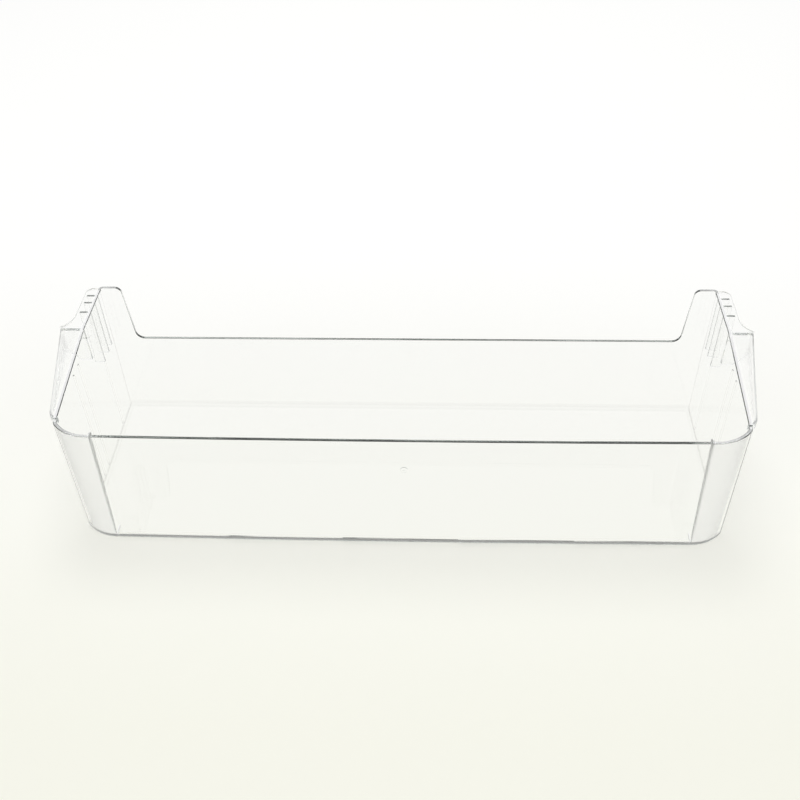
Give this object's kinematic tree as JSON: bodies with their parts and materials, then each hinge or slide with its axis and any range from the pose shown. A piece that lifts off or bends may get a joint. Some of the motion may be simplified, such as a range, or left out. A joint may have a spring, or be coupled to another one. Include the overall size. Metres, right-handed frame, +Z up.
{
  "type": "fridge bottle shelf",
  "caption": "Clear one-piece open tray that hangs inside a fridge door and holds bottles upright, with ribbed hangers and ramped wings at both ends.",
  "frame": {"origin": "on the underside, below the middle of the shelf's bounding box", "axes": "+X along the shelf, +Y towards the door that it hangs on, +Z up"},
  "size_m": [0.439, 0.134, 0.104],
  "materials": {
    "clear_plastic": "clear, polished"
  },
  "bodies": {
    "root": {"bottle_shelf": "clear_plastic"}
  },
  "joints": []
}
